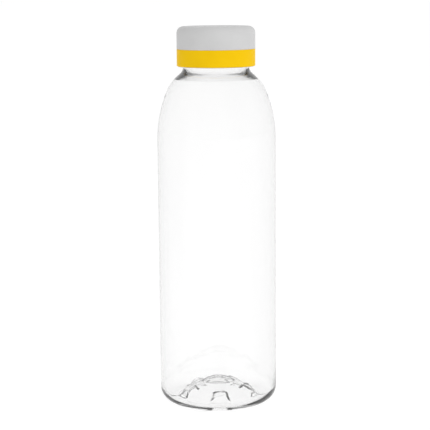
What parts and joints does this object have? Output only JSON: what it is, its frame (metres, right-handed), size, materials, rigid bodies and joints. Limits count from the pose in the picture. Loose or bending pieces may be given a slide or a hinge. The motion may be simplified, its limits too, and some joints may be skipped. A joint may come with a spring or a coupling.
{
  "type": "plastic bottle",
  "caption": "Clear blown bottle with a domed shoulder, a threaded neck, a ribbed push-up base and a two-colour screw cap.",
  "frame": {"origin": "centre of the standing ring, on the surface the bottle stands on", "axes": "+Z along the bottle's axis, up towards the cap; -Y faces the front"},
  "size_m": [0.065, 0.065, 0.2076],
  "materials": {
    "clear_body": "clear, glossy",
    "cap_grey": "smooth satin",
    "ring_yellow": "smooth satin",
    "seal_white": "soft matt"
  },
  "bodies": {
    "bottle": {"bottle": "clear_body"},
    "seal": {"seal_disc": "seal_white"},
    "cap": {"cap": "cap_grey", "colour_ring": "ring_yellow"}
  },
  "joints": [
    {"name": "cap_lift", "type": "slide", "parent": "bottle", "child": "seal", "axis": [0, 0, 1], "range_m": [0, 0.0063]},
    {"name": "cap_turn", "type": "hinge", "parent": "seal", "child": "cap", "pos_m": [0, 0, 0.195], "axis": [0, 0, 1], "range_deg": [0, 540]}
  ],
  "couplings": [
    {"joint": "cap_lift", "follows": "cap_turn", "m_per_rad": 0.00066845}
  ]
}
